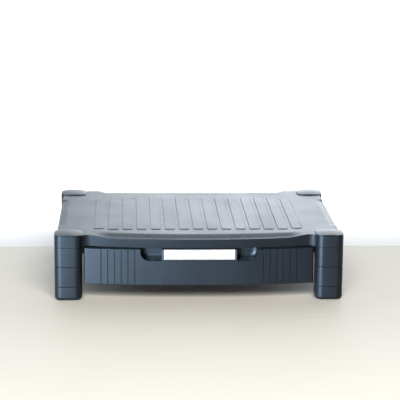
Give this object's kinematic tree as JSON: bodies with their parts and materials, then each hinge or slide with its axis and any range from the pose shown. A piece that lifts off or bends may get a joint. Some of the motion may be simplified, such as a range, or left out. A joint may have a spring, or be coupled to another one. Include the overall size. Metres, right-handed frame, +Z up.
{
  "type": "monitor riser stand",
  "caption": "Ribbed plastic riser deck on stacked square corner legs, with a bowed lip and a slide-out drawer with finger recess and label holder under it.",
  "frame": {"origin": "on the desk, under the middle of the whole object's box", "axes": "+X to the user's right, +Y away from the user, +Z up; the drawer opens towards -Y"},
  "size_m": [0.44, 0.3396, 0.1035],
  "materials": {
    "charcoal_abs": "satin, lightly grained moulded ABS",
    "black_abs": "plain moulded ABS",
    "black_rubber": "matt anti-slip rubber",
    "zinc_steel": "zinc plated",
    "white_card": "uncoated white card"
  },
  "bodies": {
    "stand": {"deck": "charcoal_abs", "corner_cap_front_left": "charcoal_abs", "corner_cap_front_right": "charcoal_abs", "corner_cap_rear_left": "charcoal_abs", "corner_cap_rear_right": "charcoal_abs", "column_upper_front_left": "charcoal_abs", "column_upper_front_right": "charcoal_abs", "column_upper_rear_left": "charcoal_abs", "column_upper_rear_right": "charcoal_abs", "column_lower_front_left": "charcoal_abs", "column_lower_front_right": "charcoal_abs", "column_lower_rear_left": "charcoal_abs", "column_lower_rear_right": "charcoal_abs", "foot_front_left": "charcoal_abs", "foot_front_right": "charcoal_abs", "foot_rear_left": "charcoal_abs", "foot_rear_right": "charcoal_abs", "foot_pad_front_left": "black_rubber", "foot_pad_front_right": "black_rubber", "foot_pad_rear_left": "black_rubber", "foot_pad_rear_right": "black_rubber", "drawer_rail_left": "black_abs", "drawer_rail_right": "black_abs", "rail_screw_left_1": "zinc_steel", "rail_screw_left_2": "zinc_steel", "rail_screw_left_3": "zinc_steel", "rail_screw_right_1": "zinc_steel", "rail_screw_right_2": "zinc_steel", "rail_screw_right_3": "zinc_steel"},
    "drawer": {"drawer_tray": "black_abs", "drawer_front": "charcoal_abs", "label_holder": "charcoal_abs", "label_card": "white_card", "front_screw_1": "zinc_steel", "front_screw_2": "zinc_steel", "front_screw_3": "zinc_steel"}
  },
  "joints": [
    {"name": "drawer_slide", "type": "slide", "parent": "stand", "child": "drawer", "axis": [0, -1, 0], "range_m": [0, 0.205]}
  ]
}
